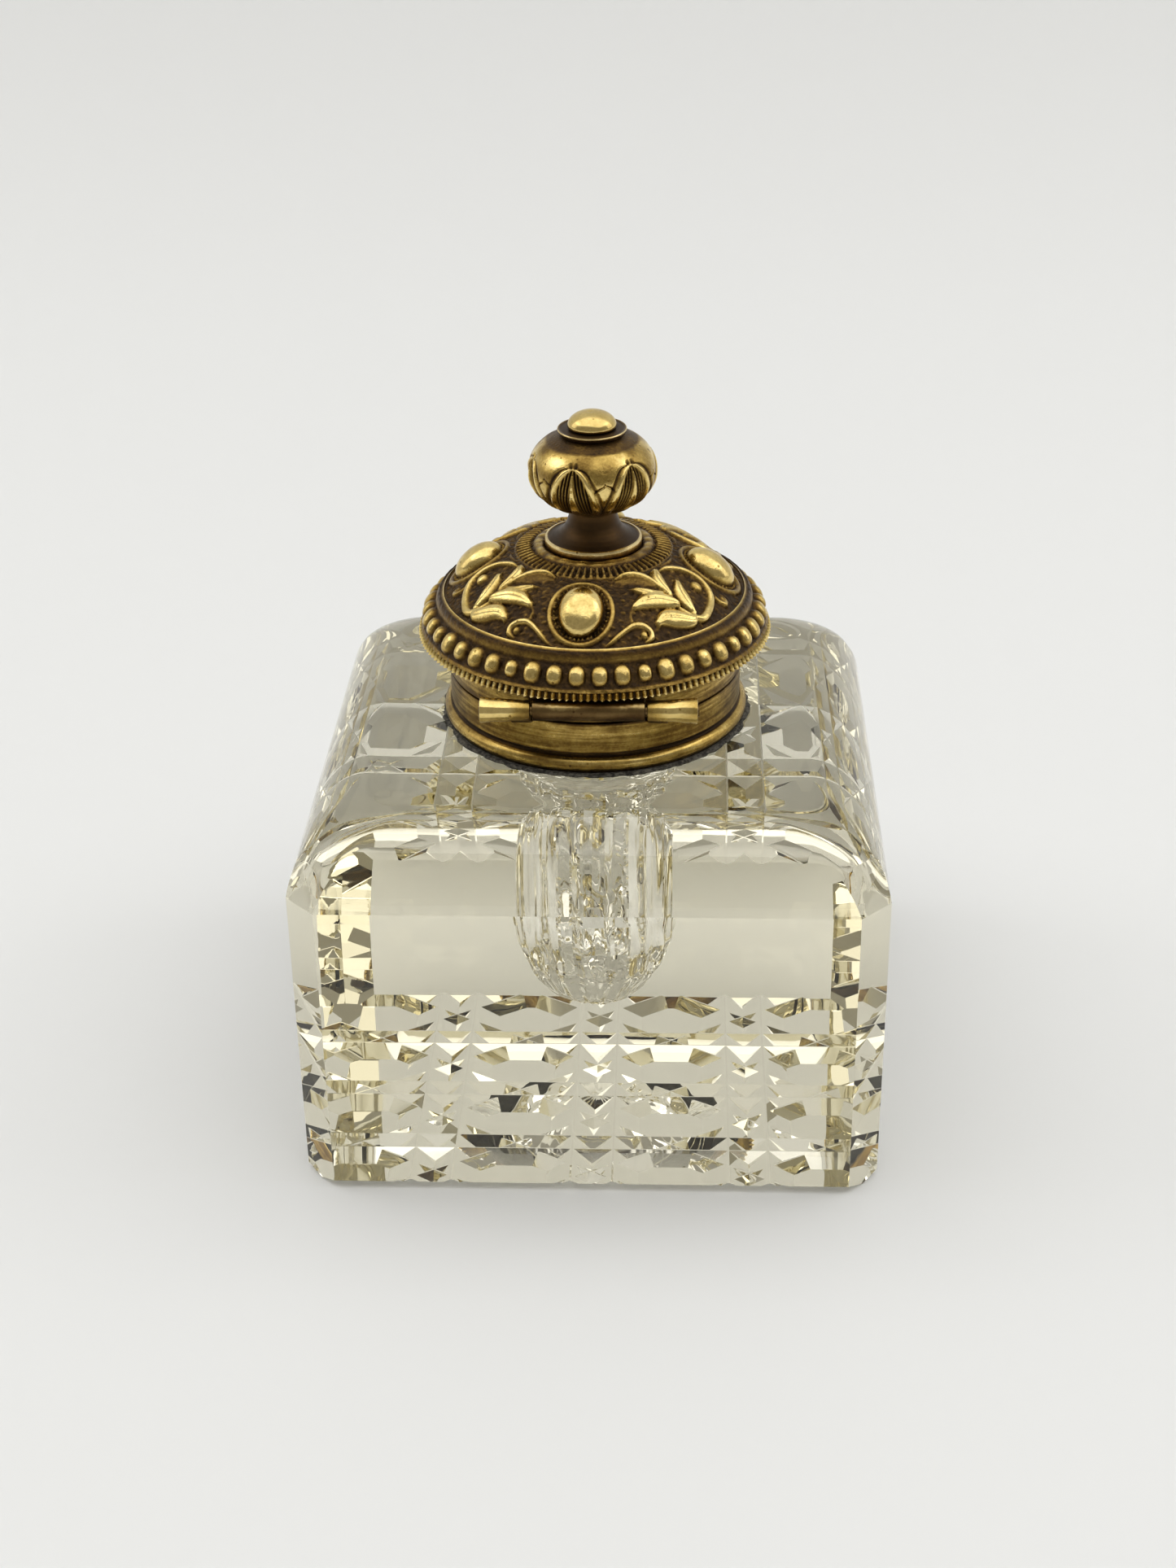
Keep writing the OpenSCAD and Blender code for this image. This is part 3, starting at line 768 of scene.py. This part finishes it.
def knob_bun():
    """The knob: an oval turned shape, flattened in height, with the chasing pushed out from it,
    and a straight bore up its middle."""
    cols, rows = 720, 130
    LON, LAT = np.meshgrid(np.arange(cols) * 360 / cols, np.linspace(-72, 67, rows))
    h, wear = knob_height(LAT, LON)
    a, c, s = np.radians(LON), np.cos(np.radians(LAT)), np.sin(np.radians(LAT))
    dent = ripple(BUN_R * c * np.cos(a), BUN_R * c * np.sin(a), LAT / 10, 3.0, 71) * 0.05
    r = BUN_R * c**0.8 + h * c + dent * c
    z = BUN_Z + BUN_UP * s + h * s * 0.8
    wall = np.full((1, cols), BORE)
    r = np.vstack([wall, r, wall])
    z, wear = (np.vstack([v[:1], v, v[-1:]]) for v in (z, wear))
    pts = np.stack([r * np.sin(a[0]), -r * np.cos(a[0]), z], -1).reshape(-1, 3)
    piece("knob_chased_bun", pts, grid_faces(len(r), cols, True), "lid", chased,
          ("knob_bun",), wear, 60)


lid_sheet()
bead_border()
barrel("knuckle_left", -OUTER, -INNER, "root", bright, ("hinge_knuckle_left",), 0.85)
barrel("knuckle_right", INNER, OUTER, "root", bright, ("hinge_knuckle_right",), 0.82)
barrel("knuckle_middle", -MIDDLE, MIDDLE, "lid", dark, ("hinge_knuckle_centre",), 0.45)
block_piece("hinge_leaf", -MIDDLE, MIDDLE, "lid", dark,
            [(-20.9, 60.9), (-19.3, 60.8), (-17.9, 60.9), (-17.9, 63.5), (-19.5, 63.9),
             (-20.9, 63.7)], 0.25)
for name, x0, x1 in (("lug_left", -9.8, -7.35), ("lug_right", 7.35, 9.8)):
    block_piece(name, x0, x1, "root", dark,
                [(-20.2, 59.95), (-19.4, 59.35), (-18.2, 58.7), (-16.9, 58.3), (-16.9, 58.95),
                 (-18.2, 58.97), (-19.35, 59.8),
                 (-19.35, 60.9), (-20.2, 60.9)], 0.3)
knob_bun()
turned("knob_foot_bell", [(BORE, 75.6, 0.2), (6.2, 75.6, 0.1), (6.3, 75.8, 0.5), (6.3, 76.5, 0.95),
                          (6.22, 76.72, 1.0), (6.0, 76.8, 0.95),
                          (5.85, 76.7, 0.4), (5.6, 76.75, 0.16), (5.0, 77.0, 0.14),
                          (4.4, 77.4, 0.18), (3.85, 77.95, 0.28), (3.4, 78.7, 0.2),
                          (3.15, 79.6, 0.26), (3.08, 80.3, 0.4), (3.2, 80.85, 0.3), (BORE, 80.9, 0.1)],
       300, "lid", dark, ("knob_foot",), 0.2)
turned("knob_dished_disc", [(BORE, 90.5, 0.1), (3.9, 90.5, 0.1), (4.2, 90.7, 0.2), (4.38, 91.0, 0.3),
                            (4.42, 91.2, 0.9), (4.36, 91.3, 1.0),
                            (4.25, 91.3, 0.6), (4.0, 91.2, 0.2), (3.5, 91.25, 0.16), (BORE, 91.3, 0.1)],
       240, "lid", dark, ("knob_disc",), 0.12)


def dimple(a, r, z, w):
    """A small round dimple on the button's top."""
    return r, z - 0.12 * np.exp(-((np.hypot(r * np.cos(a) + 0.2, r * np.sin(a) + 0.3) / 0.32) ** 2)), w


turned("knob_cap_button", [(0.02, 91.4, 0.2), (2.9, 91.4, 0.2), (3.08, 91.5, 0.5)]
       + [(3.12 * math.cos(t), 91.65 + 1.9 * math.sin(t), 0.86) for t in np.linspace(0, 1.55, 22)],
       160, "lid", bright, ("knob_button",), 0.2, dimple, closed=False)

# CAD pieces that keep their own shape: pin, rod, washer and nut
hardware = brass("brass of the small parts", DARKER, (0.45, 0.3), 0.35, 0.03, wear=0.62)
for node in ("hinge_pin", "knob_stud", "knob_washer", "knob_nut"):
    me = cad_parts[node].data
    me.materials.clear()
    me.materials.append(hardware)

# ---------------------------------------------------------------- studio

def sweep():
    """Floor and wall in one sheet, in metres: a level line, a quarter arc and an upright line in
    Y and Z, carried along X. A hair's gap keeps it off the foot of the glass."""
    y0, rad, gap = 0.34, 0.16, 0.00012
    t = np.linspace(0, np.pi / 2, 20)
    arc = np.column_stack([y0 + rad * np.sin(t), rad - rad * np.cos(t)])
    prof = np.vstack([[(-1.6, 0)], arc, [(y0 + rad, 1.6)]])
    n = len(prof)
    ends = [np.column_stack([np.full(n, x), prof[:, 0], prof[:, 1] - gap]) for x in (-1.8, 1.8)]
    pts = np.concatenate(ends)
    me = bpy.data.meshes.new("studio_sweep")
    me.from_pydata(pts, [], [(i, n + i, n + i + 1, i + 1) for i in range(n - 1)])
    me.polygons.foreach_set("use_smooth", np.ones(n - 1, bool))
    ob = bpy.data.objects.new("studio_sweep", me)
    bpy.context.scene.collection.objects.link(ob)
    f = Finish("studio paper")
    f.set(Base_Color=(0.80, 0.805, 0.80, 1), Roughness=0.85)
    me.materials.append(f.material)


def softbox(name, place, size, power):
    """A rectangular area light, in metres and watts, turned towards the middle of the object."""
    light = bpy.data.lights.new(name, "AREA")
    light.shape, light.size, light.size_y, light.energy = "RECTANGLE", *size, power
    ob = bpy.data.objects.new(name, light)
    bpy.context.scene.collection.objects.link(ob)
    ob.location = place
    ob.rotation_mode = "QUATERNION"
    ob.rotation_quaternion = (Vector((0, 0, 0.04)) - Vector(place)).to_track_quat("-Z", "Y")


def surroundings():
    """The world's light: a straight fade along Y, from darker in front to bright behind."""
    world = bpy.data.worlds.new("studio")
    bpy.context.scene.world = world
    world.use_nodes = True
    tree = world.node_tree
    sky = tree.nodes.new("ShaderNodeTexCoord")
    split = tree.nodes.new("ShaderNodeSeparateXYZ")
    fade = tree.nodes.new("ShaderNodeValToRGB")
    stops = fade.color_ramp.elements
    stops[0].position, stops[0].color = 0.0, (0.31, 0.30, 0.275, 1)
    stops[1].position, stops[1].color = 0.7, (0.81, 0.81, 0.795, 1)
    tree.links.new(sky.outputs["Generated"], split.inputs[0])
    tree.links.new(split.outputs["Y"], fade.inputs["Fac"])
    tree.links.new(fade.outputs[0], tree.nodes["Background"].inputs[0])


sweep()
softbox("light_above", (0.05, 0.20, 1.15), (3.2, 2.4), 29)
softbox("light_left", (-0.9, 0.1, 0.5), (0.5, 0.8), 1.2)
softbox("light_right", (0.9, 0.1, 0.5), (0.5, 0.8), 1.2)
surroundings()
# light needs many turns inside cut glass before it finds its way out
paths = bpy.context.scene.cycles
paths.max_bounces, paths.glossy_bounces, paths.transmission_bounces = 28, 24, 28


def camera():
    """Looks down 28 degrees at the hinge side, from about 0.32 m, with a 53 mm lens."""
    pitch, roll, yaw = (math.radians(v) for v in (28.334, -0.9, 2.644))
    aim, away = Vector((-0.00121, 0, 0.04016)), 0.317667
    fwd = Vector((0, math.cos(pitch), -math.sin(pitch)))
    spin = Matrix.Rotation(yaw, 3, "Z")
    right, pos, fwd = spin @ Vector((1, 0, 0)), spin @ (aim - fwd * away), spin @ fwd
    cam = bpy.data.cameras.new("camera")
    cam.lens, cam.sensor_width, cam.sensor_fit = 53.35, 36, "AUTO"
    ob = bpy.data.objects.new("camera", cam)
    bpy.context.scene.collection.objects.link(ob)
    facing = Matrix((right, right.cross(fwd), -fwd)).transposed().to_4x4()
    ob.matrix_world = Matrix.Translation(pos) @ facing @ Matrix.Rotation(roll, 4, "Z")
    bpy.context.scene.camera = ob


camera()
bpy.context.scene.view_settings.view_transform = "Standard"
